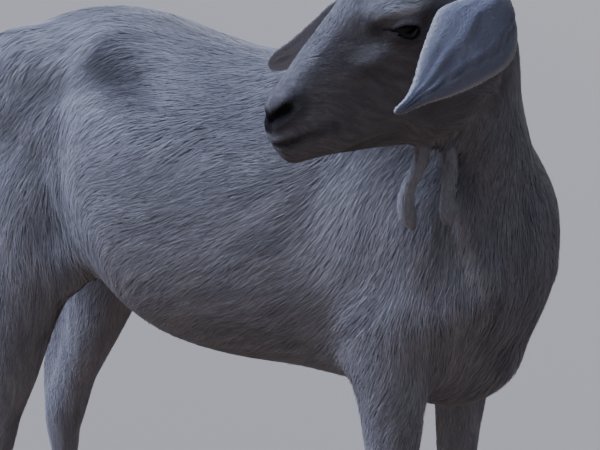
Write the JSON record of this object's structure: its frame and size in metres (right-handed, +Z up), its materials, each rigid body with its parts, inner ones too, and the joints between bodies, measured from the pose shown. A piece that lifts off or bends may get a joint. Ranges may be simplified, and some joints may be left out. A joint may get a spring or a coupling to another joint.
{
  "type": "goat",
  "caption": "Life-size still model of a standing goat with drooping ears and throat wattles, looking back over its right shoulder.",
  "frame": {"origin": "the middle of the model's plan, on the floor it stands on", "axes": "+X the way the goat's body faces, +Y to the goat's left, +Z up"},
  "size_m": [0.8236, 0.4274, 0.8557],
  "materials": {
    "coat": "short matt hair on skin",
    "eye": "wet gloss",
    "horn": "dull horn"
  },
  "bodies": {
    "root": {"trunk": "coat", "neck": "coat", "head": "coat", "tail": "coat", "ear_left": "coat", "wattle_left": "coat", "forearm_left": "coat", "fore_cannon_left": "coat", "thigh_left": "coat", "hind_cannon_left": "coat", "ear_right": "coat", "wattle_right": "coat", "forearm_right": "coat", "fore_cannon_right": "coat", "thigh_right": "coat", "hind_cannon_right": "coat", "eye_left": "eye", "eye_right": "eye", "claw_fore_left_outer": "horn", "dewclaw_fore_left_outer": "horn", "claw_fore_left_inner": "horn", "dewclaw_fore_left_inner": "horn", "claw_fore_right_outer": "horn", "dewclaw_fore_right_outer": "horn", "claw_fore_right_inner": "horn", "dewclaw_fore_right_inner": "horn", "claw_hind_left_outer": "horn", "dewclaw_hind_left_outer": "horn", "claw_hind_left_inner": "horn", "dewclaw_hind_left_inner": "horn", "claw_hind_right_outer": "horn", "dewclaw_hind_right_outer": "horn", "claw_hind_right_inner": "horn", "dewclaw_hind_right_inner": "horn"}
  },
  "joints": []
}
